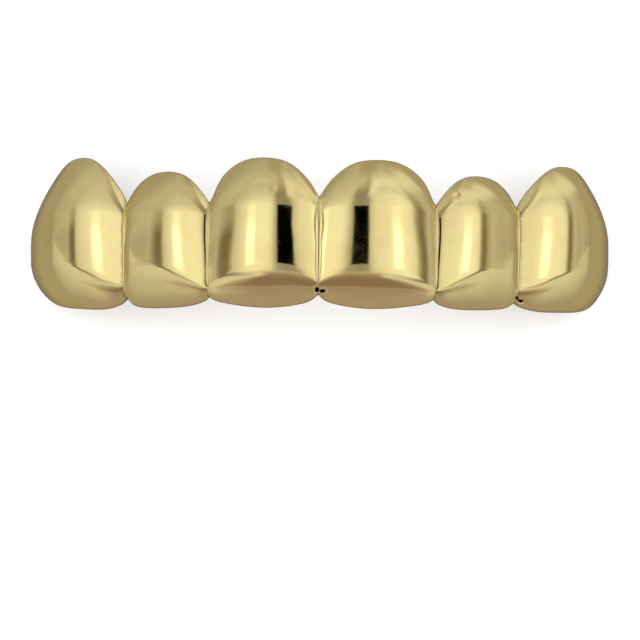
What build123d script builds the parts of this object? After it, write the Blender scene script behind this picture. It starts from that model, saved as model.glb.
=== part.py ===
from build123d import *
import math
import os
from collections import namedtuple

# Six-tooth cover for the upper front teeth, one rigid shell of plated brass.
# X runs across the arch, Y from the biting edge to the gums, Z out of the faces. The cover lies on
# its back: it rests on the lingual edges of its canine caps, with the faces up.

# Driving sizes, in mm
wall = 0.5                  # thickness of the metal
crown_height = 12.0         # from the biting edge to the wall's end at the tallest arch
crown_depth = 6.3           # from the face to the lingual wall at the central incisors
edge_hollow = 0.45          # inner radius of the biting edge
rim_round = 0.16            # how far the rounded rims stand out past the wall's end
central_width = 9.33        # along the chord of each face
lateral_width = 7.31
canine_width = 10.29        # from the lateral incisor round the corner to the far end
central_bulge = 1.03        # how far the middle of a face stands out from its chord
lateral_bulge = 0.76
canine_bulge = 2.82
mid_seam_width = 0.7        # solder in the middle of the groove at the midline
seam_width = 0.34           # and of the other grooves
seam_end_width = 0.16       # at the two ends of each
seam_rise = 0.4             # how far solder stands out of its groove, as a share of half its width
bevel_steps = 30            # steps in finding where the bevel meets the biting edge

# Turns of the face chords away from straight ahead, in degrees
central_turn = 9.3
lateral_turn = 24.2
canine_turn = 48.5

# A form is the wall's section at one place. Heights (rim, shoulder, keel, bevel_top, cingulum, back)
# are shares of crown_height, depths (dome, bevel, thick, curl) are shares of crown_depth, edge is
# the share of edge_hollow that is added to the wall, and turn is the section's own turn in degrees.
Form = namedtuple("Form", "turn rim shoulder dome keel bevel_top bevel thick cingulum back curl edge")

mid_groove = Form(0, .742, .650, .045, .095, .191, .055, .746, .303, .471, .040, .60)
inner_groove = Form(17, .696, .610, .045, .070, .170, .055, .730, .303, .471, .040, .50)
outer_groove = Form(25, .684, .600, .045, .058, .166, .050, .730, .303, .471, .040, .45)
central_form = Form(11, 1, .689, .238, .004, .311, .214, .984, .387, .588, .079, 1)
lateral_form = Form(23, .897, .639, .198, 0, .286, .198, .952, .370, .555, .079, 1)
canine_form = Form(35, .982, .639, .254, -.008, .286, .238, 1.016, .370, .588, .079, 1)
far_end = Form(52, .530, .395, .040, .155, .295, .066, .250, .370, .521, .010, .27)

# Stations along a face. along is a share of the face's width, face a share of its bulge, and the
# other columns say how far the section has changed from the groove's form to the tooth's own form.
Station = namedtuple("Station", "along face turn rim dome keel bevel")

central_stations = [
    Station(0, 0, 0, 0, 0, 0, 0),
    Station(.035, .137, .07, .18, .28, .28, .28),
    Station(.10, .366, .20, .46, .58, .57, .60),
    Station(.275, .788, .55, .87, .92, .87, .96),
    Station(.50, 1, 1, 1, 1, 1, .96),
    Station(.725, .804, .55, .91, .92, .83, .79),
    Station(.90, .392, .20, .565, .60, .51, .49),
    Station(.965, .149, .07, .23, .30, .27, .23),
    Station(1, 0, 0, 0, 0, 0, 0),
]
lateral_stations = [
    Station(0, 0, 0, 0, 0, 0, 0),
    Station(.035, .130, .07, .12, .22, .30, .16),
    Station(.10, .338, .20, .36, .50, .60, .38),
    Station(.275, .766, .55, .83, .88, .92, .82),
    Station(.50, 1, 1, 1, 1, 1, 1),
    Station(.725, .831, .55, .88, .92, .95, .92),
    Station(.90, .463, .20, .49, .60, .74, .60),
    Station(.965, .170, .07, .185, .30, .38, .28),
    Station(1, 0, 0, 0, 0, 0, 0),
]
canine_stations = [
    Station(0, 0, 0, 0, 0, 0, 0),
    Station(.06, .189, .17, .34, .40, .55, .28),
    Station(.17, .485, .48, .73, .76, .90, .60),
    Station(.27, .703, .76, .94, .94, .99, .85),
    Station(.353, .855, 1, 1, 1, 1, 1),
    Station(.45, .960, .85, .985, 1, 1, .99),
    Station(.56, 1, .68, .885, .95, .98, .94),
    Station(.69, .950, .48, .66, .80, .88, .82),
    Station(.81, .789, .29, .42, .60, .63, .62),
    Station(.92, .50, .12, .165, .35, .31, .33),
    Station(1, 0, 0, 0, 0, 0, 0),
]

# Levels of the solder in a groove: a share of the way from one height of the groove's form to
# another, set back by shares of its dome and bevel. swell is 1 at full width, 0 at seam_end_width.
SeamLevel = namedtuple("SeamLevel", "upper lower share dome bevel swell")
seam_levels = [
    SeamLevel("rim", "shoulder", .35, .45, 0, 0),
    SeamLevel("rim", "shoulder", 1, 0, 0, .85),
    SeamLevel("shoulder", "bevel_top", .5, 0, 0, 1),
    SeamLevel("shoulder", "bevel_top", 1, 0, 0, .85),
    SeamLevel("bevel_top", "keel", .6, 0, .4, 0),
]

# The two sides of the real cover differ: these are one side's shares of the tooth's named width,
# turn and bulge, and of its form's rim. keel is added to its form's keel, and slant is how much lower
# the keel of the tooth is at its far end than at its end nearer the midline.
Side = namedtuple("Side", "width turn bulge rim keel slant")

# The teeth from the midline outwards
Tooth = namedtuple("Tooth", "width turn bulge form start end stations left right")
teeth = [
    Tooth(central_width, central_turn, central_bulge, central_form, mid_groove, inner_groove,
          central_stations, Side(.974, 1.159, .997, 1.003, 0, 0), Side(1.026, .848, 1.008, .996, 0, 0)),
    Tooth(lateral_width, lateral_turn, lateral_bulge, lateral_form, inner_groove, outer_groove,
          lateral_stations, Side(1.011, 1, 1, 1.005, -.005, .03), Side(.989, 1, 1, .998, .004, 0)),
    Tooth(canine_width, canine_turn, canine_bulge, canine_form, outer_groove, far_end,
          canine_stations, Side(1, .960, .934, 1.006, -.009, -.03), Side(1, 1.039, 1.065, .985, .002, 0)),
]


def mix(first, second, share):
    return first + (second - first) * share


def section_form(groove, tooth_form, station):
    """The form at a station, in mm and degrees."""
    share = Form(
        turn=station.turn, rim=station.rim, shoulder=station.rim, dome=station.dome,
        keel=station.keel, bevel_top=station.bevel, bevel=station.bevel, thick=station.bevel,
        cingulum=station.rim, back=station.rim, curl=station.dome, edge=station.bevel,
    )
    unit = Form(
        turn=1, rim=crown_height, shoulder=crown_height, dome=crown_depth, keel=crown_height,
        bevel_top=crown_height, bevel=crown_depth, thick=crown_depth, cingulum=crown_height,
        back=crown_height, curl=crown_depth, edge=edge_hollow,
    )
    form = Form(*[mix(*values) * size for *values, size in zip(groove, tooth_form, share, unit)])
    return form._replace(edge=wall + form.edge)


def arc(centre, radius, start, end):
    return ("arc", centre, radius, start, end)


def on_circle(centre, radius, angle):
    return (centre[0] + radius * math.cos(angle), centre[1] + radius * math.sin(angle))


def wall_path(form, inset):
    """Lines and arcs of the wall's outer side, or of its inner side with the wall as inset.

    The path runs from the rim at the gums down the face, round the biting edge and up the lingual
    wall. Points are (out of the face, towards the gums), and each arc meets its line in tangent.
    """
    rise = form.rim - form.shoulder
    dome_radius = (form.dome ** 2 + rise ** 2) / (2 * form.dome)
    dome_turn = 2 * math.atan(form.dome / rise)
    dome_centre = (-dome_radius, form.shoulder)

    # The bevel's arc ends where the edge's arc takes over, at the same angle. The height of that
    # point depends on the angle, so it is found by steps, from the edge's lowest point upwards.
    bevel_end = form.keel
    for _ in range(bevel_steps):
        drop = form.bevel_top - bevel_end
        bevel_turn = 2 * math.atan(form.bevel / drop)
        bevel_end = form.keel + form.edge * (1 - math.sin(bevel_turn))
    bevel_radius = (form.bevel ** 2 + drop ** 2) / (2 * form.bevel)
    bevel_centre = (-bevel_radius, form.bevel_top)
    edge_centre = on_circle(bevel_centre, bevel_radius - form.edge, -bevel_turn)

    # The lingual wall is straight from the edge's arc to the cingulum, then curls to its rim.
    cingulum = (-form.thick, form.cingulum)
    across = cingulum[0] - edge_centre[0]
    up = cingulum[1] - edge_centre[1]
    normal = math.atan2(up, across) + math.acos(form.edge / math.hypot(across, up)) - 2 * math.pi
    lean = (math.cos(normal), math.sin(normal))
    curl_rise = form.back - form.cingulum
    curl_turn = 2 * math.atan(form.curl / curl_rise)
    curl_radius = curl_rise / math.sin(curl_turn)
    curl_centre = (cingulum[0] - curl_radius * lean[0], cingulum[1] - curl_radius * lean[1])

    edge = on_circle(edge_centre, form.edge - inset, normal)
    return [
        arc(dome_centre, dome_radius - inset, dome_turn, 0),
        ((-inset, form.shoulder), (-inset, form.bevel_top)),
        arc(bevel_centre, bevel_radius - inset, 0, -bevel_turn),
        arc(edge_centre, form.edge - inset, -bevel_turn, normal),
        (edge, (cingulum[0] - inset * lean[0], cingulum[1] - inset * lean[1])),
        arc(curl_centre, curl_radius - inset, normal, normal - curl_turn),
    ]


def path_ends(path):
    """The path's two end points and the directions in which it leaves them."""
    _, centre, radius, start, _ = path[0]
    first = on_circle(centre, radius, start)
    first_way = (-math.sin(start), math.cos(start))
    _, centre, radius, _, end = path[-1]
    last = on_circle(centre, radius, end)
    last_way = (math.sin(end), -math.cos(end))
    return first, first_way, last, last_way


def draw_path(path):
    for piece in path:
        if piece[0] == "arc":
            _, centre, radius, start, end = piece
            CenterArc(centre, radius, math.degrees(start), math.degrees(end - start))
        else:
            Line(*piece)


def draw_rim(outer, inner, way):
    """A rounded rim between the wall's outer and inner side."""
    tip = ((outer[0] + inner[0]) / 2 + way[0] * rim_round,
           (outer[1] + inner[1]) / 2 + way[1] * rim_round)
    ThreePointArc(outer, tip, inner)


def draw_wall(form):
    """The closed section of the wall: outer side, inner side and both rims."""
    outer = wall_path(form, 0)
    inner = wall_path(form, wall)
    draw_path(outer)
    draw_path(inner)
    face_rim, face_way, back_rim, back_way = path_ends(outer)
    inner_face_rim, _, inner_back_rim, _ = path_ends(inner)
    draw_rim(face_rim, inner_face_rim, face_way)
    draw_rim(back_rim, inner_back_rim, back_way)


def section_plane(side, place, turn):
    """The upright plane through a point of the face, square to the arch."""
    turn = math.radians(turn)
    return Plane(
        origin=(place[0], 0, place[1]),
        x_dir=(side * math.sin(turn), 0, math.cos(turn)),
        z_dir=(-math.cos(turn), 0, side * math.sin(turn)),
    )


def tooth_sections(tooth, side, start):
    """The planes and forms of one tooth's sections, and the place where the tooth ends."""
    own = tooth.right if side > 0 else tooth.left
    width = tooth.width * own.width
    form = tooth.form._replace(rim=tooth.form.rim * own.rim, keel=tooth.form.keel + own.keel)
    turn = math.radians(tooth.turn * own.turn)
    along = (side * math.cos(turn), -math.sin(turn))
    outward = (side * math.sin(turn), math.cos(turn))
    peak = max(tooth.stations, key=lambda station: station.rim)
    sections = []
    for station in tooth.stations:
        groove = tooth.start if station.along <= peak.along else tooth.end
        slanted = form._replace(keel=form.keel + own.slant * (.5 - station.along))
        here = section_form(groove, slanted, station)
        run = width * station.along
        bulge = tooth.bulge * own.bulge * station.face
        place = (start[0] + along[0] * run + outward[0] * bulge,
                 start[1] + along[1] * run + outward[1] * bulge)
        sections.append((section_plane(side, place, here.turn), here))
    end = (start[0] + along[0] * width, start[1] + along[1] * width)
    return sections, end


def draw_end_plate(form):
    """A section's outline at half the wall's depth, closed straight across between its rims."""
    middle = wall_path(form, wall / 2)
    draw_path(middle)
    face_rim, _, back_rim, _ = path_ends(middle)
    Line(back_rim, face_rim)


def make_seam(side, place, form, width):
    """Solder along a groove: a low oval bead, widest in the middle, set half into the wall."""
    groove_plane = section_plane(side, place, form.turn)
    with BuildPart() as seam:
        for level in seam_levels:
            height = mix(getattr(form, level.upper), getattr(form, level.lower), level.share)
            out = -form.dome * level.dome - form.bevel * level.bevel
            centre = groove_plane.from_local_coords(Vector(out, height, 0))
            with BuildSketch(Plane(centre, groove_plane.x_dir, groove_plane.y_dir)):
                half = mix(seam_end_width, width, level.swell) / 2
                Ellipse(half * seam_rise, half)
        loft()
    return seam.part


# Caps and seams
mid_form = section_form(mid_groove, mid_groove, central_stations[0])
pieces = [make_seam(1, (0, 0), mid_form, mid_seam_width)]
for side in (-1, 1):
    place = (0, 0)
    for tooth in teeth:
        sections, place = tooth_sections(tooth, side, place)
        end_plane, end_form = sections[-1]
        with BuildPart() as cap:
            for plane, form in sections:
                with BuildSketch(plane):
                    with BuildLine():
                        draw_wall(form)
                    make_face()
            loft()
            if tooth.end is far_end:
                with BuildSketch(end_plane):
                    with BuildLine():
                        draw_end_plate(end_form)
                    make_face()
                extrude(amount=side * wall)
        pieces.append(cap.part)
        if tooth.end is not far_end:
            pieces.append(make_seam(side, place, end_form, seam_width))

with BuildPart() as shell:
    for piece in pieces:
        add(piece)

# The cover, placed with its origin under the middle of its bounding box
box = shell.part.bounding_box()
with BuildPart() as six_tooth_cover:
    with Locations((-box.center().X, -box.center().Y, -box.min.Z)):
        add(shell.part)

six_tooth_cover.part.label = "six_tooth_cover"
os.makedirs("parts", exist_ok=True)
export_step(six_tooth_cover.part, "parts/six_tooth_cover.step")
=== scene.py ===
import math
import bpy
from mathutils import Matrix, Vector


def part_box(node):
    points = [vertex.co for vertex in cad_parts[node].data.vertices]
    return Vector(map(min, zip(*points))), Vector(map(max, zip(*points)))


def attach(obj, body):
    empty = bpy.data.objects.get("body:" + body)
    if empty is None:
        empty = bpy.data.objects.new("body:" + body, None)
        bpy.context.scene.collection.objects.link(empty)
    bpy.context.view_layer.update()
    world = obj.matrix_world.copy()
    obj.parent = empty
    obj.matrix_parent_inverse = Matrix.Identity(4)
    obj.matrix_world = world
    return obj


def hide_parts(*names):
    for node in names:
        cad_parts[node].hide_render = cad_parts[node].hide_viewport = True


bl_info = {
    "name": "Six-tooth cover",
    "version": (1, 0, 0),
    "blender": (4, 5, 0),
    "location": "3D View > Sidebar > Tooth cover",
    "description": "Builds a gold-plated cover for six upper front teeth, and a small studio",
    "category": "Object",
}

from collections import namedtuple

import bmesh
import bpy
import numpy as np

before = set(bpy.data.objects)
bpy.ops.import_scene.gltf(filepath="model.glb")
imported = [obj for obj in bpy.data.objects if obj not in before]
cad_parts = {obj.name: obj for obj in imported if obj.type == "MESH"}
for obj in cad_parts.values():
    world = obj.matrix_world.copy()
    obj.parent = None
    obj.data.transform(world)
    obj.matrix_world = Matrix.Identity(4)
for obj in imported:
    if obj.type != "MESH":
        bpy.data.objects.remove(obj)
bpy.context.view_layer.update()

mm = 0.001
# Places of a Mix node's two colours among its inputs
colour_a, colour_b = 6, 7
cad_node = "six_tooth_cover"
# Values that the shell's points carry for its material: painted shade along the grooves, wear on
# the edges, and painted shade in the pits
point_values = ("soil", "wear", "residue")


def linear(code):
    """Linear colour of an sRGB hex code."""
    shares = [int(code[place:place + 2], 16) / 255 for place in (0, 2, 4)]
    return tuple(
        share / 12.92 if share <= 0.04045 else ((share + 0.055) / 1.055) ** 2.4
        for share in shares
    )


class CoverSizes(bpy.types.PropertyGroup):
    """Sizes of the cover."""

    wall: bpy.props.FloatProperty(
        name="Wall", default=0.5 * mm, subtype="DISTANCE",
        description="Thickness of the metal",
    )
    crown_height: bpy.props.FloatProperty(
        name="Crown height", default=12.0 * mm, subtype="DISTANCE",
        description="From the biting edge to the wall's end at the tallest arch",
    )
    crown_depth: bpy.props.FloatProperty(
        name="Crown depth", default=6.3 * mm, subtype="DISTANCE",
        description="From the face to the lingual wall at the central incisors",
    )
    edge_hollow: bpy.props.FloatProperty(
        name="Edge hollow", default=0.45 * mm, subtype="DISTANCE",
        description="Inner radius of the biting edge",
    )
    rim_round: bpy.props.FloatProperty(
        name="Rim round", default=0.2 * mm, subtype="DISTANCE",
        description="How far the rounded rims stand out past the wall's end",
    )
    central_width: bpy.props.FloatProperty(
        name="Central width", default=9.33 * mm, subtype="DISTANCE",
        description="Width of a central incisor's face along its chord",
    )
    lateral_width: bpy.props.FloatProperty(
        name="Lateral width", default=7.31 * mm, subtype="DISTANCE",
        description="Width of a lateral incisor's face along its chord",
    )
    canine_width: bpy.props.FloatProperty(
        name="Canine width", default=10.29 * mm, subtype="DISTANCE",
        description="From the lateral incisor round the corner to the far end",
    )
    central_bulge: bpy.props.FloatProperty(
        name="Central bulge", default=1.03 * mm, subtype="DISTANCE",
        description="How far a central face's middle stands out from its chord",
    )
    lateral_bulge: bpy.props.FloatProperty(
        name="Lateral bulge", default=0.76 * mm, subtype="DISTANCE",
        description="How far a lateral face's middle stands out from its chord",
    )
    canine_bulge: bpy.props.FloatProperty(
        name="Canine bulge", default=2.82 * mm, subtype="DISTANCE",
        description="How far a canine's corner stands out from its chord",
    )
    central_turn: bpy.props.FloatProperty(
        name="Central turn", default=math.radians(9.3), subtype="ANGLE",
        description="Turn of a central face away from straight ahead",
    )
    lateral_turn: bpy.props.FloatProperty(
        name="Lateral turn", default=math.radians(24.2), subtype="ANGLE",
        description="Turn of a lateral face away from straight ahead",
    )
    canine_turn: bpy.props.FloatProperty(
        name="Canine turn", default=math.radians(48.5), subtype="ANGLE",
        description="Turn of a canine's chord away from straight ahead",
    )
    mid_seam_width: bpy.props.FloatProperty(
        name="Midline seam", default=0.7 * mm, subtype="DISTANCE",
        description="Width of the solder in the groove at the midline",
    )
    seam_width: bpy.props.FloatProperty(
        name="Other seams", default=0.3 * mm, subtype="DISTANCE",
        description="Width of the solder in the other grooves",
    )
    face_crown: bpy.props.FloatProperty(
        name="Face crown", default=0.15 * mm, subtype="DISTANCE",
        description="How far a face falls away above and below its middle",
    )
    end_roll: bpy.props.FloatProperty(
        name="End roll", default=0.22 * mm, subtype="DISTANCE",
        description="Radius of the edge round each far end",
    )


# What the colours' properties share
colour_kind = {"size": 3, "subtype": "COLOR", "min": 0, "max": 1}


class CoverColours(bpy.types.PropertyGroup):
    """Colours of the metal and the studio."""

    plate: bpy.props.FloatVectorProperty(
        name="Gold plate", default=linear("F8E8A2"), **colour_kind,
        description="Clean polished plating",
    )
    worn_plate: bpy.props.FloatVectorProperty(
        name="Worn plate", default=linear("F2DD98"), **colour_kind,
        description="Plating that has been rubbed and handled",
    )
    # The colour of the painted shade along the grooves
    groove_shade_colour: bpy.props.FloatVectorProperty(
        name="Painted groove shade", default=linear("6A5634"), **colour_kind,
        description="Painted shade along the grooves",
    )
    cast_plate: bpy.props.FloatVectorProperty(
        name="Cast plate", default=linear("D6BC82"), **colour_kind,
        description="Plating over the rough cast metal inside",
    )
    # The colour of the painted shade in the pits
    residue: bpy.props.FloatVectorProperty(
        name="Painted pit shade", default=linear("120E0A"), **colour_kind,
        description="Painted shade in the pits",
    )
    floor: bpy.props.FloatVectorProperty(
        name="Floor", default=linear("F4F4F4"), **colour_kind,
        description="White sheet that the cover lies on",
    )


# A form is the wall's section at one place. Heights (rim, shoulder, keel, bevel_top, cingulum,
# back) are shares of the crown's height, depths (dome, bevel, thick, curl) are shares of its depth,
# edge is the share of the edge's hollow that is added to the wall, and turn is the section's own in
# degrees.
Form = namedtuple(
    "Form", "turn rim shoulder dome keel bevel_top bevel thick cingulum back curl edge",
)

mid_groove = Form(0, .742, .650, .045, .095, .191, .055, .746, .303, .471, .040, .60)
inner_groove = Form(17, .696, .610, .045, .070, .140, .055, .730, .303, .471, .040, .50)
outer_groove = Form(25, .684, .600, .045, .058, .166, .050, .730, .303, .471, .040, .45)
central_form = Form(11, 1, .689, .238, .004, .311, .214, .984, .387, .588, .079, 1)
lateral_form = Form(23, .897, .639, .198, 0, .286, .198, .952, .370, .555, .079, 1)
canine_form = Form(35, .982, .639, .254, -.008, .286, .238, 1.016, .370, .588, .079, 1)
far_end = Form(52, .530, .395, .040, .155, .295, .066, .250, .370, .521, .010, .27)

# Stations along a face. along is a share of the face's width, face a share of its bulge, and the
# other columns say how far the section has changed from the groove's form to the tooth's own form.
Station = namedtuple("Station", "along face turn rim dome keel bevel")

central_stations = [
    Station(0, 0, 0, 0, 0, 0, 0),
    Station(.035, .137, .07, .18, .28, .28, .28),
    Station(.10, .366, .20, .46, .58, .57, .60),
    Station(.275, .788, .55, .87, .92, .87, .96),
    Station(.50, 1, 1, 1, 1, 1, .96),
    Station(.725, .804, .55, .91, .92, .83, .74),
    Station(.90, .392, .20, .565, .60, .51, .34),
    Station(.965, .149, .07, .23, .30, .27, .13),
    Station(1, 0, 0, 0, 0, 0, 0),
]
lateral_stations = [
    Station(0, 0, 0, 0, 0, 0, 0),
    Station(.035, .140, .07, .12, .13, .30, .12),
    Station(.10, .346, .20, .36, .30, .60, .31),
    Station(.275, .766, .55, .83, .74, .92, .76),
    Station(.50, 1, 1, 1, 1, 1, 1),
    Station(.725, .831, .55, .88, .92, .95, .92),
    Station(.90, .463, .20, .49, .60, .74, .60),
    Station(.965, .170, .07, .185, .30, .38, .28),
    Station(1, 0, 0, 0, 0, 0, 0),
]
canine_stations = [
    Station(0, 0, 0, 0, 0, 0, 0),
    Station(.06, .189, .17, .34, .24, .55, .28),
    Station(.17, .485, .48, .73, .54, .90, .60),
    Station(.27, .703, .76, .94, .82, .99, .85),
    Station(.353, .855, 1, 1, 1, 1, 1),
    Station(.45, .960, .85, .985, 1, 1, .99),
    Station(.56, 1, .68, .885, .95, .98, .94),
    Station(.69, .950, .48, .66, .80, .88, .82),
    Station(.81, .789, .29, .42, .60, .63, .62),
    Station(.92, .50, .12, .165, .35, .31, .33),
    Station(1, 0, 0, 0, 0, 0, 0),
]

# The two sides of the real cover differ: these are one side's shares of the tooth's named width,
# turn and bulge, and of its form's rim. keel is added to its form's keel, and slant is how much
# lower the keel of the tooth is at its far end than at its end nearer the midline.
Side = namedtuple("Side", "width turn bulge rim keel slant")

# The teeth from the midline outwards
Tooth = namedtuple("Tooth", "name form start end stations left right")
teeth = [
    Tooth("central", central_form, mid_groove, inner_groove, central_stations,
          Side(.974, 1.159, .997, 1.003, 0, 0), Side(1.026, .848, 1.008, .996, 0, 0)),
    Tooth("lateral", lateral_form, inner_groove, outer_groove, lateral_stations,
          Side(1.011, 1, 1, 1.005, -.005, .03), Side(.989, 1, 1, .998, .004, 0)),
    Tooth("canine", canine_form, outer_groove, far_end, canine_stations,
          Side(1, .960, .934, 1.006, -.009, -.03), Side(1, 1.039, 1.065, .985, .002, 0)),
]

# Steps of the mesh: across a tooth, along each piece of the wall's section, and round a rim
tooth_columns = 58
path_steps = (20, 26, 18, 18, 12, 8)
rim_steps = 8
# Rounds in which the bevel is fitted to the edge
bevel_rounds = 30
# The far end: points in which its run is measured, columns round its rolled edge, and how far the
# even columns stay clear of them
end_samples = 2000
roll_columns = 9
roll_gap = 0.02
# How far the painted shade spreads from a groove, as a share of the tooth's run
groove_shade_reach = 0.06

# Small dents that the cover has in its faces: place from the midline and the biting edge, half
# widths, and depth, in mm. The ones deeper than pit_depth are pits that the solder left at a
# groove's end, and they are painted black as shade.
Dent = namedtuple("Dent", "across up half_width half_height depth")
dents = [
    Dent(-4.62, 10.05, .42, .26, .075),
    Dent(-3.75, 9.75, .22, .30, .045),
    Dent(11.02, 9.26, .38, .26, .065),
    Dent(11.75, 9.05, .20, .26, .035),
    Dent(-10.66, 9.39, .40, .35, .030),
    Dent(-0.10, 1.55, .15, .20, .40),
    Dent(0.36, 1.46, .24, .13, .35),
    Dent(16.25, 0.85, .26, .11, .30),
    Dent(15.95, 1.10, .12, .12, .25),
]
pit_depth = 0.2

# How far from a face's middle, up or down, its fall begins to level off, in mm
crown_reach = 3.0

# One section of the whole wall: the points of its two sides and two rims, its share of painted
# shade along the grooves, how deep in a pit each point of its face is, which sets the painted shade
# in the pits, and whether the hollow is open there
Column = namedtuple("Column", "outer back_arc inner face_arc soil residue hollow")


def mix(first, second, share):
    """A value part of the way from the first to the second."""
    return first + (second - first) * share


def spline(knots, values, at):
    """Values on the smooth cubic curve through the knots.

    Its first two spans are one cubic, and so are its last two.
    """
    count = len(knots)
    step = np.diff(knots)
    slope = np.diff(values, axis=0) / step[:, None]
    system = np.zeros((count, count))
    right = np.zeros_like(values)
    for row in range(1, count - 1):
        system[row, row - 1:row + 2] = step[row - 1], 2 * (step[row - 1] + step[row]), step[row]
        right[row] = 6 * (slope[row] - slope[row - 1])
    system[0, :3] = -step[1], step[0] + step[1], -step[0]
    system[-1, -3:] = -step[-1], step[-2] + step[-1], -step[-2]
    bend = np.linalg.solve(system, right)
    place = np.clip(np.searchsorted(knots, at, side="right") - 1, 0, count - 2)
    width = step[place]
    after = (at - knots[place]) / width
    before = 1 - after
    cubic = (before ** 3 - before)[:, None] * bend[place]
    cubic = cubic + (after ** 3 - after)[:, None] * bend[place + 1]
    straight = before[:, None] * values[place] + after[:, None] * values[place + 1]
    return straight + cubic * (width ** 2)[:, None] / 6


def section_form(groove, tooth_form, station, sizes):
    """The form at a station, in mm and degrees."""
    share = Form(
        turn=station.turn, rim=station.rim, shoulder=station.rim, dome=station.dome,
        keel=station.keel, bevel_top=station.bevel, bevel=station.bevel, thick=station.bevel,
        cingulum=station.rim, back=station.rim, curl=station.dome, edge=station.bevel,
    )
    high = sizes.crown_height / mm
    deep = sizes.crown_depth / mm
    unit = Form(
        turn=1, rim=high, shoulder=high, dome=deep, keel=high, bevel_top=high, bevel=deep,
        thick=deep, cingulum=high, back=high, curl=deep, edge=sizes.edge_hollow / mm,
    )
    form = Form(*[mix(*values) * size for *values, size in zip(groove, tooth_form, share, unit)])
    return form._replace(edge=sizes.wall / mm + form.edge)


def on_circle(centre, radius, angle):
    """The point of a circle at an angle."""
    return (centre[0] + radius * math.cos(angle), centre[1] + radius * math.sin(angle))


def wall_path(form, inset):
    """Points of the wall's outer side, or of its inner side with the wall as inset.

    They run from the rim at the gums down the face, round the biting edge and up the lingual wall,
    as (out of the face, towards the gums). The directions in which both ends leave come with them.
    """
    rise = form.rim - form.shoulder
    dome_radius = (form.dome ** 2 + rise ** 2) / (2 * form.dome)
    dome_turn = 2 * math.atan(form.dome / rise)
    dome_centre = (-dome_radius, form.shoulder)

    bevel_end = form.keel
    for _ in range(bevel_rounds):
        drop = form.bevel_top - bevel_end
        bevel_turn = 2 * math.atan(form.bevel / drop)
        bevel_end = form.keel + form.edge * (1 - math.sin(bevel_turn))
    bevel_radius = (form.bevel ** 2 + drop ** 2) / (2 * form.bevel)
    bevel_centre = (-bevel_radius, form.bevel_top)
    edge_centre = on_circle(bevel_centre, bevel_radius - form.edge, -bevel_turn)

    cingulum = (-form.thick, form.cingulum)
    across = cingulum[0] - edge_centre[0]
    up = cingulum[1] - edge_centre[1]
    normal = math.atan2(up, across) + math.acos(form.edge / math.hypot(across, up)) - 2 * math.pi
    lean = (math.cos(normal), math.sin(normal))
    curl_rise = form.back - form.cingulum
    curl_turn = 2 * math.atan(form.curl / curl_rise)
    curl_radius = curl_rise / math.sin(curl_turn)
    curl_centre = (cingulum[0] - curl_radius * lean[0], cingulum[1] - curl_radius * lean[1])

    def arc(centre, radius, start, end, steps):
        return [on_circle(centre, radius, mix(start, end, step / steps)) for step in range(steps)]

    def line(start, end, steps):
        return [tuple(mix(*pair, step / steps) for pair in zip(start, end))
                for step in range(steps)]

    dome, face, bevel, edge, lingual, curl = path_steps
    edge_point = on_circle(edge_centre, form.edge - inset, normal)
    curl_point = (cingulum[0] - inset * lean[0], cingulum[1] - inset * lean[1])
    points = arc(dome_centre, dome_radius - inset, dome_turn, 0, dome)
    points += line((-inset, form.shoulder), (-inset, form.bevel_top), face)
    points += arc(bevel_centre, bevel_radius - inset, 0, -bevel_turn, bevel)
    points += arc(edge_centre, form.edge - inset, -bevel_turn, normal, edge)
    points += line(edge_point, curl_point, lingual)
    points += arc(curl_centre, curl_radius - inset, normal, normal - curl_turn, curl)
    points.append(on_circle(curl_centre, curl_radius - inset, normal - curl_turn))
    first_way = (-math.sin(dome_turn), math.cos(dome_turn))
    last_way = (math.sin(normal - curl_turn), -math.cos(normal - curl_turn))
    return np.array(points), first_way, last_way


def rim_arc(start, end, way, height):
    """Points between a wall's two sides on a rounded rim, without its ends."""
    middle = (start + end) / 2
    half = (start - end) / 2
    angles = np.linspace(0, math.pi, rim_steps + 1)[1:-1, None]
    return middle + half * np.cos(angles) + np.array(way) * height * np.sin(angles)


def tooth_sections(tooth, side, start, sizes):
    """The forms and places of one tooth's sections, and the place where the tooth ends."""
    own = tooth.right if side > 0 else tooth.left
    width = getattr(sizes, tooth.name + "_width") / mm * own.width
    bulge = getattr(sizes, tooth.name + "_bulge") / mm * own.bulge
    turn = getattr(sizes, tooth.name + "_turn") * own.turn
    form = tooth.form._replace(rim=tooth.form.rim * own.rim, keel=tooth.form.keel + own.keel)
    along = (side * math.cos(turn), -math.sin(turn))
    outward = (side * math.sin(turn), math.cos(turn))
    peak = max(tooth.stations, key=lambda station: station.rim)
    rows = []
    for station in tooth.stations:
        groove = tooth.start if station.along <= peak.along else tooth.end
        slanted = form._replace(keel=form.keel + own.slant * (.5 - station.along))
        here = section_form(groove, slanted, station, sizes)
        run = width * station.along
        out = bulge * station.face
        place = (start[0] + along[0] * run + outward[0] * out,
                 start[1] + along[1] * run + outward[1] * out)
        rows.append(list(here) + list(place))
    return np.array(rows), (start[0] + along[0] * width, start[1] + along[1] * width)


def press_dents(points):
    """Presses the small dents into the faces, and says how deep in a pit each point is."""
    deep = np.zeros(len(points))
    for dent in dents:
        across = (points[:, 0] - dent.across) / dent.half_width
        up = (points[:, 1] - dent.up) / dent.half_height
        share = np.exp(-(across ** 2 + up ** 2))
        points[:, 2] -= dent.depth * share
        if dent.depth > pit_depth:
            deep = np.maximum(deep, share)
    return deep


def crown_drop(height, form, crown):
    """How far a face falls away at a height above or below its middle, as a real crown's does."""
    up = (height - (form.shoulder + form.bevel_top) / 2) / crown_reach
    return crown * up ** 2 / np.sqrt(1 + up ** 4)


def stand_section(points, side, place, turn):
    """Places a section's flat points upright on the arch, square to it."""
    out = points[:, 0]
    return np.stack([
        place[0] + side * math.sin(turn) * out,
        points[:, 1],
        place[1] + math.cos(turn) * out,
    ], axis=1)


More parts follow.
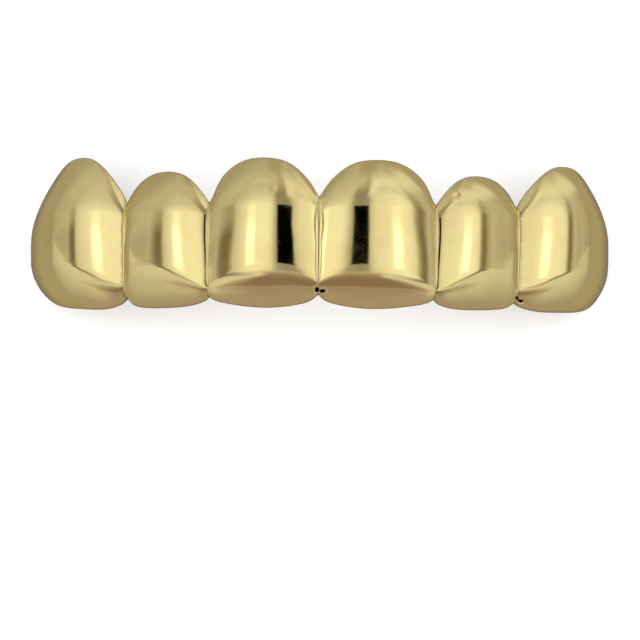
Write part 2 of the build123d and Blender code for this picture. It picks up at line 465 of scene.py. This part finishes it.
def make_column(values, side, inset, soil, hollow, sizes):
    """One section of the wall as points: both sides and both rims."""
    form = Form(*values[:-2])
    place = values[-2:]
    turn = math.radians(form.turn)
    outer, face_way, back_way = wall_path(form, inset)
    inner, _, _ = wall_path(form, sizes.wall / mm)
    # The face is the part of the section down to the middle of the biting edge
    face = sum(path_steps[:3]) + path_steps[3] // 2
    outer[:face, 0] -= crown_drop(outer[:face, 1], form, sizes.face_crown / mm)
    height = sizes.rim_round / mm
    back_arc = rim_arc(outer[-1], inner[-1], back_way, height)
    face_arc = rim_arc(inner[0], outer[0], face_way, height)
    outer, back_arc, inner, face_arc = [
        stand_section(points, side, place, turn) for points in (outer, back_arc, inner, face_arc)
    ]
    # How deep in a pit each point of the face is, which sets the painted shade in the pits
    residue = press_dents(outer[:face])
    return Column(outer, back_arc, inner, face_arc, soil, residue, hollow)


def side_columns(side, sizes):
    """One side's columns from the midline outwards, and the places and forms of its grooves."""
    columns = []
    grooves = []
    start = (0, 0)
    for tooth in teeth:
        rows, start = tooth_sections(tooth, side, start, sizes)
        # The root of each distance spaces the knots, so that the curve doesn't swing past them
        gaps = np.linalg.norm(np.diff(rows[:, [1, -2, -1]], axis=0), axis=1) ** 0.5
        knots = np.concatenate([[0], np.cumsum(gaps)])
        at = np.linspace(0, knots[-1], tooth_columns + 1)
        insets = np.zeros(len(at))
        hollow = np.ones(len(at), bool)
        if tooth.end is far_end:
            # The far end is closed by a plate: two columns lead up to it, and the rest roll the
            # edge over round it
            fine = np.linspace(0, knots[-1], end_samples)
            places = spline(knots, rows, fine)[:, -2:]
            steps = np.linalg.norm(np.diff(places, axis=0), axis=1)
            lengths = np.concatenate([[0], np.cumsum(steps)])
            wall = sizes.wall / mm
            roll = sizes.end_roll / mm
            angles = np.linspace(0, math.pi / 2, roll_columns)
            from_end = np.concatenate([[wall, (wall + roll) / 2], roll * (1 - np.sin(angles))])
            last = np.interp(lengths[-1] - from_end, lengths, fine)
            kept = at[at < last[0] - roll_gap]
            at = np.concatenate([kept, last])
            insets = np.concatenate([np.zeros(len(kept) + 2), roll * (1 - np.cos(angles))])
            hollow = np.concatenate([np.ones(len(kept) + 1, bool), np.zeros(len(last) - 1, bool)])
        values = spline(knots, rows, at)
        # Painted shade along the grooves, which fades away from each groove
        distance = at if tooth.end is far_end else np.minimum(at, knots[-1] - at)
        groove_shades = np.exp(-(distance / (groove_shade_reach * knots[-1])) ** 2)
        first = 1 if columns else 0
        for number in range(first, len(at)):
            columns.append(make_column(values[number], side, insets[number], groove_shades[number],
                                       hollow[number], sizes))
        if tooth.end is not far_end:
            grooves.append((start, Form(*rows[-1][:-2])))
    return columns, grooves


def shell_mesh(sizes):
    """The shell's points and faces, which faces are inside, and the points' values."""
    left, _ = side_columns(-1, sizes)
    right, _ = side_columns(1, sizes)
    columns = left[::-1] + right[1:]
    arc = rim_steps - 1
    count = len(columns[0].outer)
    around = 2 * (count + arc)
    starts = []
    points = []
    shares = []
    edge_from = sum(path_steps[:3])
    edge_to = edge_from + path_steps[3]
    edge_wear = np.sin(np.linspace(0, math.pi, path_steps[3]))
    total = 0
    for column in columns:
        starts.append(total)
        inner = column.inner[::-1] if column.hollow else column.inner[[-1, 0]]
        loop = np.concatenate([column.outer, column.back_arc, inner, column.face_arc])
        points.append(loop)
        # Each point's share of painted shade along the grooves, of wear on the edges, and of
        # painted shade in the pits
        soil, wear, residue = np.zeros((3, len(loop)))
        soil[:] = column.soil
        wear[edge_from:edge_to] = edge_wear
        wear[count:count + arc] = 1
        wear[-arc:] = 1
        residue[:len(column.residue)] = column.residue
        shares.append((soil, wear, residue))
        total += len(loop)
    faces = []
    inside = []

    def add_face(corners, is_inside):
        faces.append(corners)
        inside.append(is_inside)

    for number in range(len(columns) - 1):
        here, there = starts[number], starts[number + 1]
        if columns[number].hollow and columns[number + 1].hollow:
            for row in range(around):
                after = (row + 1) % around
                is_inside = count + arc <= row < 2 * count + arc - 1
                add_face((here + row, there + row, there + after, here + after), is_inside)
            continue
        # Beside the far end the hollow stops, and the plate is closed straight across its mouth
        short = count + arc
        rounds = [around if columns[number + step].hollow else short + 2 + arc for step in (0, 1)]
        for row in range(short):
            add_face((here + row, there + row, there + row + 1, here + row + 1), False)
        back = [here + short, there + short]
        face = [here + rounds[0] - arc - 1, there + rounds[1] - arc - 1]
        add_face((back[0], back[1], face[1], face[0]), False)
        for row in range(arc):
            add_face((face[0] + row, face[1] + row, face[1] + row + 1, face[0] + row + 1), False)
        add_face((face[0] + arc, face[1] + arc, there, here), False)
        for step, base in ((0, here), (1, there)):
            if columns[number + step].hollow:
                add_face(tuple(base + short + row for row in range(count)), True)
    for base in (starts[0], starts[-1]):
        add_face(tuple(base + row for row in range(count + 2 + 2 * arc)), False)
    return np.concatenate(points), faces, inside, np.concatenate(shares, axis=1)


def add_object(name, points, faces, materials, face_materials, sharp=30):
    """A new smooth-shaded object, whose corners sharper than so many degrees stay crisp."""
    mesh = bpy.data.meshes.new(name)
    mesh.from_pydata([tuple(point) for point in points], [], faces)
    for material in materials:
        mesh.materials.append(material)
    mesh.polygons.foreach_set("material_index", np.array(face_materials, np.int32))
    body = bmesh.new()
    body.from_mesh(mesh)
    bmesh.ops.recalc_face_normals(body, faces=body.faces)
    body.to_mesh(mesh)
    body.free()
    mesh.shade_smooth()
    mesh.set_sharp_from_angle(angle=math.radians(sharp))
    mesh.validate()
    thing = bpy.data.objects.new(name, mesh)
    bpy.context.scene.collection.objects.link(thing)
    return thing


def placement(points):
    """The move from the midline's biting edge to the CAD node's place, in mm."""
    low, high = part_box(cad_node)
    middle = (points.min(axis=0) + points.max(axis=0)) / 2
    return np.array([
        (low.x + high.x) / 2 / mm - middle[0],
        (low.y + high.y) / 2 / mm - middle[1],
        low.z / mm - points[:, 2].min(),
    ])


def settle(piece):
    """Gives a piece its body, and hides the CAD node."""
    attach(piece, "root")
    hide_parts(cad_node)


def add_node(tree, kind, inputs=None, **settings):
    """Adds a node, with its settings, and with values, sockets or other nodes for its inputs.

    A node that is given as an input stands for the first of its outputs that is in use.
    """
    node = tree.nodes.new("ShaderNode" + kind)
    for name, value in settings.items():
        setattr(node, name, value)
    for name, value in (inputs or {}).items():
        if isinstance(value, bpy.types.Node):
            value = next(output for output in value.outputs if output.enabled)
        if isinstance(value, bpy.types.NodeSocket):
            tree.links.new(value, node.inputs[name])
        else:
            node.inputs[name].default_value = value
    return node


def set_stops(node, stops):
    """Fills a ramp, whose ends stand for -180 and 180 degrees, with its stops."""
    elements = node.color_ramp.elements
    while len(elements) > 1:
        elements.remove(elements[-1])
    for number, (degrees, value) in enumerate(stops):
        position = (degrees + 180) / 360
        element = elements[0] if number == 0 else elements.new(position)
        element.position = position
        if isinstance(value, str):
            value = linear(value)
        element.color = (*value, 1) if isinstance(value, tuple) else (value, value, value, 1)


def new_material(name):
    """A material with an empty node tree, and that tree."""
    material = bpy.data.materials.new(name)
    material.use_nodes = True
    tree = material.node_tree
    tree.nodes.clear()
    return material, tree


def gold_plated_brass(colours):
    """Gold-plated brass, polished on a buffing wheel.

    The eye gets a mirror with slightly soft edges, a lemon-gold colour that is a little duller
    where the plating is rubbed, dark brown painted shade along the grooves, black painted shade in
    the pits, and the long low waves of hand polishing.
    """
    material, tree = new_material("Gold-plated brass, polished")
    place = add_node(tree, "TexCoord").outputs["Object"]
    soil, wear, residue = [
        add_node(tree, "Attribute", attribute_name=name).outputs["Fac"] for name in point_values
    ]

    # Handling marks about 2.5 mm across, with finer ones in them
    smudge = add_node(tree, "TexNoise",
                      {"Vector": place, "Scale": 1 / (2.5 * mm), "Detail": 5, "Roughness": 0.6})
    rubbed = add_node(tree, "MapRange", {"Value": smudge, "From Min": 0.45, "From Max": 0.75})
    worn = add_node(tree, "Math", {0: wear, 1: rubbed}, operation="MAXIMUM")
    # Painted shade lies along the grooves, broken into flecks about 0.35 mm across
    fleck = add_node(tree, "TexNoise",
                     {"Vector": place, "Scale": 1 / (0.35 * mm), "Detail": 4, "Roughness": 0.7})
    groove_shading = add_node(tree, "Math", {0: soil, 1: fleck}, operation="MULTIPLY")
    groove_shading = add_node(tree, "MapRange",
                     {"Value": groove_shading, "From Min": 0.3, "From Max": 0.6, "To Max": 0.5})
    # Black painted shade fills the pits
    pit_shading = add_node(tree, "MapRange", {"Value": residue, "From Min": 0.25, "From Max": 0.45})
    colour = (*colours.plate, 1)
    # The plate, its worn plating, and the painted shade along the grooves and in the pits, laid one
    # over another
    for share, over in (
        (worn, colours.worn_plate),
        (groove_shading, colours.groove_shade_colour),
        (pit_shading, colours.residue),
    ):
        colour = add_node(tree, "Mix", {0: share, colour_a: colour, colour_b: (*over, 1)},
                          data_type="RGBA")

    # The buffed mirror is finest on the faces, and duller where it is rubbed and where shade is
    # painted along the grooves and in the pits
    marked = add_node(tree, "Math", {0: worn, 1: groove_shading}, operation="ADD", use_clamp=True)
    dull = add_node(tree, "Math", {0: pit_shading, 1: 4, 2: marked}, operation="MULTIPLY_ADD")
    roughness = add_node(tree, "MapRange", {"Value": dull, "To Min": 0.045, "To Max": 0.12},
                         clamp=False)

    # Waves of hand polishing about 3 mm long, and hairline scratches, which are drawn 0.08 mm wide
    # because the real ones are too fine to show
    wave = add_node(tree, "TexNoise", {"Vector": place, "Scale": 1 / (3 * mm), "Detail": 1})
    wave_bump = add_node(tree, "Bump", {"Height": wave, "Distance": 0.012 * mm})
    turned = add_node(tree, "Mapping",
                      {"Vector": place, "Rotation": (0, 0, math.radians(35)),
                       "Scale": (1 / (6 * mm), 1 / (0.16 * mm), 1 / (6 * mm))})
    hair = add_node(tree, "TexNoise", {"Vector": turned, "Scale": 1, "Detail": 2})
    hair = add_node(tree, "MapRange", {"Value": hair, "From Min": 0.66, "From Max": 0.78})
    bump = add_node(tree, "Bump", {"Height": hair, "Distance": 0.0008 * mm, "Normal": wave_bump},
                    invert=True)
    shader = add_node(tree, "BsdfPrincipled",
                      {"Base Color": colour, "Metallic": 1, "Roughness": roughness, "Normal": bump})
    add_node(tree, "OutputMaterial", {"Surface": shader})
    return material


def plated_casting(colours):
    """Gold-plated brass as it was cast, on the side that takes the teeth.

    The eye gets a satin surface with the fine grain of the investment mould under the plating.
    """
    material, tree = new_material("Gold-plated brass, as cast")
    place = add_node(tree, "TexCoord").outputs["Object"]
    # Grains of the mould, 0.12 mm across, and unevenness of the wax about 1.5 mm across
    grain = add_node(tree, "TexNoise",
                     {"Vector": place, "Scale": 1 / (0.12 * mm), "Detail": 3, "Roughness": 0.7})
    wax = add_node(tree, "TexNoise", {"Vector": place, "Scale": 1 / (1.5 * mm), "Detail": 2})
    wax_bump = add_node(tree, "Bump", {"Height": wax, "Distance": 0.06 * mm})
    bump = add_node(tree, "Bump", {"Height": grain, "Distance": 0.012 * mm, "Normal": wax_bump})
    colour = add_node(tree, "Mix", {0: wax, colour_a: (*colours.worn_plate, 1),
                                    colour_b: (*colours.cast_plate, 1)}, data_type="RGBA")
    roughness = add_node(tree, "MapRange", {"Value": grain, "To Min": 0.3, "To Max": 0.5})
    shader = add_node(tree, "BsdfPrincipled",
                      {"Base Color": colour, "Metallic": 1, "Roughness": roughness, "Normal": bump})
    add_node(tree, "OutputMaterial", {"Surface": shader})
    return material


def plated_solder(colours):
    """Solder that was filed, lightly polished and plated.

    The eye gets a narrow bright bead, a little rougher than the faces, with faint marks across it.
    """
    material, tree = new_material("Gold-plated solder, filed")
    place = add_node(tree, "TexCoord").outputs["Object"]
    # File marks run across the bead, about 0.3 mm apart
    across = add_node(tree, "Mapping",
                      {"Vector": place, "Scale": (1 / (2 * mm), 1 / (0.3 * mm), 1 / (2 * mm))})
    file_marks = add_node(tree, "TexNoise", {"Vector": across, "Scale": 1, "Detail": 3})
    bump = add_node(tree, "Bump", {"Height": file_marks, "Distance": 0.002 * mm})
    colour = add_node(tree, "Mix", {0: file_marks, colour_a: (*colours.plate, 1),
                                    colour_b: (*colours.worn_plate, 1)}, data_type="RGBA")
    roughness = add_node(tree, "MapRange", {"Value": file_marks, "To Min": 0.12, "To Max": 0.2})
    shader = add_node(tree, "BsdfPrincipled",
                      {"Base Color": colour, "Metallic": 1, "Roughness": roughness, "Normal": bump})
    add_node(tree, "OutputMaterial", {"Surface": shader})
    return material


def white_sheet(colours):
    """Matt white acrylic sheet, which gives a plain ground with no reflection."""
    material, tree = new_material("Acrylic sheet, matt white")
    shader = add_node(tree, "BsdfPrincipled", {"Base Color": (*colours.floor, 1),
                                               "Roughness": 0.9, "Specular IOR Level": 0.1})
    add_node(tree, "OutputMaterial", {"Surface": shader})
    return material


class ShellOperator(bpy.types.Operator):
    """Build the six caps as one shell of plated brass"""

    bl_idname = "mesh.tooth_cover_shell"
    bl_label = "Six caps"

    def execute(self, context):
        sizes = context.scene.tooth_cover_sizes
        colours = context.scene.tooth_cover_colours
        points, faces, inside, shares = shell_mesh(sizes)
        move = placement(points)
        context.scene["tooth_cover_move"] = [float(value) for value in move]
        materials = [gold_plated_brass(colours), plated_casting(colours)]
        shell = add_object("six_tooth_cover_shell", (points + move) * mm, faces, materials, inside,
                           sharp=24)
        for name, values in zip(point_values, shares):
            attribute = shell.data.attributes.new(name, "FLOAT", "POINT")
            attribute.data.foreach_set("value", values.astype(np.float32))
        settle(shell)
        return {"FINISHED"}


# Levels of the solder in a groove: a share of the way from one height of the groove's form to
# another, set back by shares of its dome and bevel. swell is 1 at full width, 0 at the end width.
SeamLevel = namedtuple("SeamLevel", "upper lower share dome bevel swell")
seam_levels = [
    SeamLevel("rim", "shoulder", .15, .72, 0, .35),
    SeamLevel("rim", "shoulder", .6, .16, 0, .9),
    SeamLevel("shoulder", "bevel_top", .5, 0, 0, 1),
    SeamLevel("shoulder", "bevel_top", .85, 0, 0, .85),
    SeamLevel("bevel_top", "keel", .35, 0, .3, .2),
]
seam_end_width = 0.16
# How high a bead's section is and how deep it is sunk, as shares of half its width
seam_rise = 0.6
seam_sink = 0.25
seam_rings = 60
seam_sides = 32


def seam_mesh(side, place, form, width, crown):
    """Points and faces of one tapered bead of solder along a groove."""
    rows = []
    for level in seam_levels:
        height = mix(getattr(form, level.upper), getattr(form, level.lower), level.share)
        out = -form.dome * level.dome - form.bevel * level.bevel
        rows.append((height, out, mix(seam_end_width, width, level.swell) / 2))
    rows = np.array(rows)
    knots = rows[0, 0] - rows[:, 0]
    rings = spline(knots, rows, np.linspace(0, knots[-1], seam_rings))
    turn = math.radians(form.turn)
    outward = (side * math.sin(turn), math.cos(turn))
    along = (side * math.cos(turn), -math.sin(turn))
    angles = np.linspace(0, 2 * math.pi, seam_sides, endpoint=False)
    points = []
    faces = []
    for height, out, half in rings:
        for angle in angles:
            rise = half * seam_rise * (math.cos(angle) - seam_sink)
            up = out - crown_drop(height, form, crown) + rise
            run = half * math.sin(angle)
            points.append((
                place[0] + outward[0] * up + along[0] * run,
                height,
                place[1] + outward[1] * up + along[1] * run,
            ))
    for ring in range(seam_rings - 1):
        for corner in range(seam_sides):
            after = (corner + 1) % seam_sides
            here = ring * seam_sides
            faces.append((here + corner, here + after,
                          here + seam_sides + after, here + seam_sides + corner))
    faces.append(tuple(range(seam_sides)))
    faces.append(tuple(range((seam_rings - 1) * seam_sides, seam_rings * seam_sides)))
    return np.array(points), faces


class SeamsOperator(bpy.types.Operator):
    """Build the beads of solder in the five grooves between the caps"""

    bl_idname = "mesh.tooth_cover_seams"
    bl_label = "Solder seams"

    def execute(self, context):
        sizes = context.scene.tooth_cover_sizes
        if "tooth_cover_move" not in context.scene:
            raise RuntimeError("The six caps are built before the solder seams")
        mid_form = section_form(mid_groove, mid_groove, central_stations[0], sizes)
        crown = sizes.face_crown / mm
        beads = [seam_mesh(1, (0, 0), mid_form, sizes.mid_seam_width / mm, crown)]
        for side in (-1, 1):
            _, grooves = side_columns(side, sizes)
            for place, form in grooves:
                beads.append(seam_mesh(side, place, form, sizes.seam_width / mm, crown))
        points = []
        faces = []
        total = 0
        for bead_points, bead_faces in beads:
            points.append(bead_points)
            faces += [tuple(corner + total for corner in face) for face in bead_faces]
            total += len(bead_points)
        points = np.concatenate(points) + np.array(context.scene["tooth_cover_move"])
        materials = [plated_solder(context.scene.tooth_cover_colours)]
        seams = add_object("solder_seams", points * mm, faces, materials, [0] * len(faces),
                           sharp=50)
        settle(seams)
        return {"FINISHED"}


# The studio's light, by the direction that it comes from. Angles are in degrees from straight
# above: across is to either side of the arch, tilt is towards the gums (+) or the biting edge (-),
# and round tilt is tilt that grows towards the sides. Compass goes round from the gums' side to the
# right (+). Each ramp has the angle that it follows and its stops, and a stop is an angle with a
# level, a linear colour or an sRGB hex code.
light_ramps = {
    # The gap between the soft boxes, a soft box, its dark frame, and the cloth down to the horizon
    "left box": ("across", [
        (0, .30), (6.5, .38), (8.5, .55), (11, .83), (14, .96), (18, 1), (31, 1), (36, .90),
        (41, .75), (45, .61), (47.5, (.32, .28, .23)), (49.5, (.20, .164, .127)),
        (54, (.21, .172, .133)), (57, (.32, .28, .24)), (61, .50), (66, .44), (71, .45), (79, .46),
        (86, .46), (93, .39), (105, .38), (130, .38), (180, .34),
    ]),
    "right box": ("across", [
        (0, .30), (5.5, .36), (7, .55), (9, .72), (12, .82), (16, .87), (22, .91), (26, .98),
        (29, 1), (38, 1), (41, .92), (43.5, .83), (45.7, (.50, .45, .38)), (48, (.27, .225, .172)),
        (51, (.20, .164, .127)), (53.5, (.34, .30, .26)), (56, .43), (60, .56), (64, .50),
        (68, .46), (76, .49), (84, .42), (94, .38), (115, .41), (141, .39), (180, .36),
    ]),
    # How far the soft boxes reach
    "left reach": ("round tilt", [
        (-23, 0), (-19, .9), (-12, 1), (4, 1), (9, .83), (14, .58), (22, .34), (34, .18), (50, 0),
    ]),
    "right reach": ("round tilt", [
        (-23, 0), (-19, .9), (-12, 1), (8, 1), (13, .96), (24, .84), (34, .44), (45, .55),
        (56, .32), (68, .1), (80, 0),
    ]),
    # The cloth past the soft boxes, in line with the lens and beside it
    "centre cloth": ("tilt", [
        (-180, .40), (-90, .41), (-75, .41), (-60, .38), (-53, .35), (-50, .44), (-47, .28),
        (-35, .26), (-29, .31), (-25, .38), (-21, .55), (0, .45), (8, .34), (14, .28), (27, .29),
        (34, .43), (42, .58), (54, .58), (63, .46), (72, .41), (85, .42), (180, .36),
    ]),
    "side cloth": ("tilt", [
        (-180, .42), (-95, .46), (-75, .55), (-55, .62), (-38, .69), (-22, .72), (0, .72),
        (13, .62), (24, .54), (45, .56), (56, .55), (68, .50), (80, .49), (92, .50), (105, .45),
        (180, .38),
    ]),
    # How narrow the strip of cloth in line with the lens is, from 0 to 1
    "strip narrowness": ("tilt", [
        (-60, .28), (-45, .22), (-36, .26), (-31, .34), (-27, .55), (-22, .45), (-12, .28),
        (2, .28), (7, .72), (14, 1), (60, .9), (90, .72),
    ]),
    "centre tint": ("tilt", [
        (-56, "FFEBF1"), (-46, "FFDDD9"), (-32, "FFDDD9"), (-22, "FFF8F8"), (6, "FFFFFF"),
        (12, "FFF6F8"), (90, "FFF4EE"),
    ]),
    "side tint": ("across", [
        (50, "FFFCFF"), (80, "FFF9FA"), (98, "FFF6F0"), (125, "FFF4E4"),
    ]),
    # The lower frame of a soft box
    "frame drop": ("round tilt", [(-30, 0), (-26, 1), (-22, 1), (-19, 0)]),
    "frame run": ("across", [(24, 0), (34, .3), (41, .8), (47, 1), (52, 1), (57, 0)]),
    # Two gaps in the cloth above
    "low gap rise": ("tilt", [(18, 0), (28, .9), (42, .9), (56, 0)]),
    "low gap run": ("compass", [(7, 0), (12, .8), (18, .8), (26, 0)]),
    "high gap rise": ("tilt", [(36, 0), (50, .8), (76, .9), (86, .3), (92, 0)]),
    "high gap run": ("compass", [(20, 0), (33, .7), (44, .8), (52, .5), (60, 0)]),
    # The hot tube in a soft box
    "tube rise": ("tilt", [
        (-10, 0), (-7, .6), (-4.5, 1), (1, 1), (3, .8), (5, .4), (9, 0),
    ]),
    "tube run": ("across", [(26.5, 0), (28.5, 1), (33, 1), (35.5, 0)]),
}
# What lies over the boxes and the cloth, in this order: two ramps that bound it, and its level
light_patches = [
    ("frame drop", "frame run", .15),
    ("low gap rise", "low gap run", .92),
    ("high gap rise", "high gap run", .92),
    ("tube rise", "tube run", 1.7),
]
# Even changes over an angle, or over one part of the direction from -1 to 1
box_corner = {
    "From Min": math.radians(34), "From Max": math.radians(54), "To Min": 1, "To Max": 1.8,
}
cloth_fade = {
    "From Min": math.radians(52), "From Max": math.radians(88), "To Min": 1, "To Max": .84,
}
strip_edge = {"From Min": .094, "From Max": .161}
right_half = {"From Min": -.05, "From Max": .05}
past_horizon = {"From Min": .05, "From Max": -.15}
beneath = {"From Min": -.5, "From Max": -.97, "To Min": .41, "To Max": .22}
cloth_strength = 1.5
# The hole for the lens, in degrees
lens_half_width = 6.2
lens_half_height = 8.2
lens_softness = 1.4


def light_tent(world):
    """The studio's light by direction: two soft boxes in a tent, and the dark hole for the lens."""
    world.use_nodes = True
    tree = world.node_tree
    tree.nodes.clear()
    way = add_node(tree, "TexCoord").outputs["Generated"]
    parts = add_node(tree, "SeparateXYZ", {"Vector": way}).outputs
    size = add_node(tree, "Math", {0: parts["X"]}, operation="ABSOLUTE")
    angles = {}
    for name, first, second in (
        ("across", size, parts["Z"]),
        ("tilt", parts["Y"], parts["Z"]),
        ("compass", parts["X"], parts["Y"]),
    ):
        angles[name] = add_node(tree, "Math", {0: first, 1: second}, operation="ARCTAN2")
    # The soft boxes' outer corners are round
    corner = add_node(tree, "MapRange", {"Value": angles["across"], **box_corner},
                      interpolation_type="SMOOTHSTEP")
    angles["round tilt"] = add_node(tree, "Math", {0: angles["tilt"], 1: corner},
                                    operation="MULTIPLY")

    whole_turn = {"From Min": -math.pi, "From Max": math.pi}
    shares = {name: add_node(tree, "MapRange", {"Value": angle, **whole_turn})
              for name, angle in angles.items()}
    ramps = {}
    for name, (angle, stops) in light_ramps.items():
        ramps[name] = add_node(tree, "ValToRGB", {"Fac": shares[angle]})
        set_stops(ramps[name], stops)

    # A strip of cloth in line with the lens is dimmer and warmer than the cloth beside it, which
    # fades a little towards the horizon
    narrowed = add_node(tree, "Math", {0: size, 1: ramps["strip narrowness"]}, operation="MULTIPLY")
    aside = add_node(tree, "MapRange", {"Value": narrowed, **strip_edge})
    fade = add_node(tree, "MapRange", {"Value": angles["across"], **cloth_fade})
    beside = add_node(tree, "Mix", {0: 1, colour_a: ramps["side cloth"], colour_b: fade},
                      data_type="RGBA", blend_type="MULTIPLY")
    # The right soft box stands higher than the left one
    right = add_node(tree, "MapRange", {"Value": parts["X"], **right_half})
    level, tint, reach, boxes = [
        add_node(tree, "Mix", {0: share, colour_a: first, colour_b: second}, data_type="RGBA")
        for share, first, second in (
            (aside, ramps["centre cloth"], beside),
            (aside, ramps["centre tint"], ramps["side tint"]),
            (right, ramps["left reach"], ramps["right reach"]),
            (right, ramps["left box"], ramps["right box"]),
        )
    ]

    layers = [(reach, boxes)]
    for rise, run, bright in light_patches:
        share = add_node(tree, "Math", {0: ramps[rise], 1: ramps[run]}, operation="MULTIPLY")
        layers.append((share, (bright, bright, bright, 1)))
    # Below the horizon it is darker the further down it is
    down = add_node(tree, "MapRange", {"Value": parts["Z"], **past_horizon})
    dark = add_node(tree, "MapRange", {"Value": parts["Z"], **beneath})
    layers.append((down, dark))
    # The lens looks in through an upright hole straight above
    tilt_size = add_node(tree, "Math", {0: angles["tilt"]}, operation="ABSOLUTE")
    inside = []
    for angle, half in ((angles["across"], lens_half_width), (tilt_size, lens_half_height)):
        inside.append(add_node(tree, "MapRange", {
            "Value": angle,
            "From Min": math.radians(half + lens_softness / 2),
            "From Max": math.radians(half - lens_softness / 2),
        }))
    hole = add_node(tree, "Math", {0: inside[0], 1: inside[1]}, operation="MINIMUM")
    layers.append((hole, (0, 0, 0, 1)))
    for share, layer in layers:
        level = add_node(tree, "Mix", {0: share, colour_a: level, colour_b: layer},
                         data_type="RGBA")

    light = add_node(tree, "Mix", {0: 1, colour_a: level, colour_b: tint},
                     data_type="RGBA", blend_type="MULTIPLY")
    tent = add_node(tree, "Background", {"Color": light})
    # The floor is lit evenly, and past its edge the camera sees plain white cloth
    cloth = add_node(tree, "Background",
                     {"Color": (*linear("FFFFFF"), 1), "Strength": cloth_strength})
    path = add_node(tree, "LightPath").outputs
    plain = add_node(tree, "Math", {0: path["Is Camera Ray"], 1: path["Is Diffuse Ray"]},
                     operation="MAXIMUM")
    both = add_node(tree, "MixShader", {0: plain, 1: tent, 2: cloth})
    add_node(tree, "OutputWorld", {"Surface": both})


# The camera looks straight down from 2 m, so that the arch is seen with almost no perspective. The
# picture's middle is aimed at, from the midline's biting edge, and the picture is 51.2 mm across.
camera_height = 2.0
picture_width = 51.2 * mm
picture_middle = (0.18 * mm, -0.88 * mm)
picture_turn = math.radians(0.7)
sensor = 36
# A soft lamp in m and W, a little to the gums' side, for the faint shadow below the cover
lamp_size = (1.2, 0.8)
lamp_place = (0, 0.3, 1.2)
lamp_power = 4
# Half the floor's side in m
floor_half = 5


class StudioOperator(bpy.types.Operator):
    """Set up the floor, the light and the camera"""

    bl_idname = "scene.tooth_cover_studio"
    bl_label = "Studio"

    def execute(self, context):
        scene = context.scene
        colours = scene.tooth_cover_colours
        if "tooth_cover_move" not in scene:
            raise RuntimeError("The six caps are built before the studio")
        move = scene["tooth_cover_move"]
        _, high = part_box(cad_node)

        corners = [(floor_half * x, floor_half * y, 0)
                   for x, y in ((-1, -1), (1, -1), (1, 1), (-1, 1))]
        floor = add_object("floor_sheet", corners, [(0, 1, 2, 3)], [white_sheet(colours)], [0])
        floor.visible_glossy = False

        world = bpy.data.worlds.new("Light tent")
        scene.world = world
        light_tent(world)

        lamp = bpy.data.lights.new("overhead_lamp", "AREA")
        lamp.shape = "RECTANGLE"
        lamp.size, lamp.size_y = lamp_size
        lamp.energy = lamp_power
        lamp_object = bpy.data.objects.new("overhead_lamp", lamp)
        lamp_object.location = lamp_place
        lamp_object.rotation_euler = (-math.atan2(lamp_place[1], lamp_place[2]), 0, 0)
        lamp_object.visible_glossy = False
        scene.collection.objects.link(lamp_object)

        view = bpy.data.cameras.new("camera")
        view.sensor_width = sensor
        view.lens = sensor * camera_height / picture_width
        view.clip_start = 0.1
        view.clip_end = 20
        view_object = bpy.data.objects.new("camera", view)
        view_object.location = (
            move[0] * mm + picture_middle[0],
            move[1] * mm + picture_middle[1],
            high.z + camera_height,
        )
        view_object.rotation_euler = (0, 0, picture_turn)
        scene.collection.objects.link(view_object)
        scene.camera = view_object
        scene.view_settings.view_transform = "Standard"
        return {"FINISHED"}


class CoverPanel(bpy.types.Panel):
    """Sizes, colours and steps of the tooth cover"""

    bl_idname = "VIEW3D_PT_tooth_cover"
    bl_label = "Six-tooth cover"
    bl_space_type = "VIEW_3D"
    bl_region_type = "UI"
    bl_category = "Tooth cover"

    def draw(self, context):
        layout = self.layout
        for settings in (context.scene.tooth_cover_sizes, context.scene.tooth_cover_colours):
            column = layout.column(align=True)
            for name in type(settings).__annotations__:
                column.prop(settings, name)
        for operator in (ShellOperator, SeamsOperator, StudioOperator):
            layout.operator(operator.bl_idname)


classes = (CoverSizes, CoverColours, ShellOperator, SeamsOperator, StudioOperator, CoverPanel)


def register():
    for each in classes:
        bpy.utils.register_class(each)
    bpy.types.Scene.tooth_cover_sizes = bpy.props.PointerProperty(type=CoverSizes)
    bpy.types.Scene.tooth_cover_colours = bpy.props.PointerProperty(type=CoverColours)


def unregister():
    del bpy.types.Scene.tooth_cover_colours
    del bpy.types.Scene.tooth_cover_sizes
    for each in reversed(classes):
        bpy.utils.unregister_class(each)


def main():
    register()
    bpy.ops.mesh.tooth_cover_shell()
    bpy.ops.mesh.tooth_cover_seams()
    bpy.ops.scene.tooth_cover_studio()


if __name__ == "__main__":
    main()
